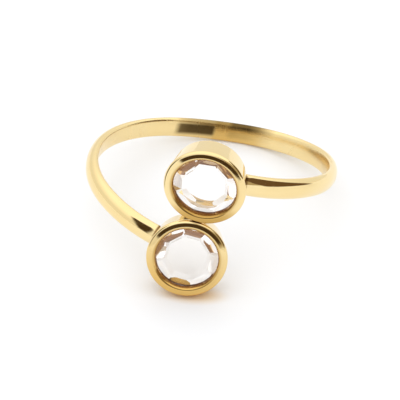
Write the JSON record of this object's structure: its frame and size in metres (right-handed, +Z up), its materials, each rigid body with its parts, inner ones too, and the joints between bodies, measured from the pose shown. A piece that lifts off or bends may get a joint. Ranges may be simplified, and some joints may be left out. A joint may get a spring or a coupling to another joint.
{
  "type": "two-stone bypass ring",
  "caption": "Slim bypass finger ring whose passing ends each carry an open-backed bezel cup with a clear faceted stone.",
  "frame": {"origin": "centre of the bounding box's bottom, on the surface that the ring lies on", "axes": "+Z up from the surface, -Y to the front where both cups are, +X to the right as seen from the front; the finger's axis leans 21 degrees from +Z, to the back and the right"},
  "size_m": [0.0196, 0.0216, 0.0119],
  "materials": {
    "gold": "polished yellow gold plate over silver, bright, with fine wear marks",
    "clear_stone": "colourless faceted stone, polished flat facets"
  },
  "bodies": {
    "root": {"mounting": "gold", "upper_stone": "clear_stone", "lower_stone": "clear_stone"}
  },
  "joints": []
}
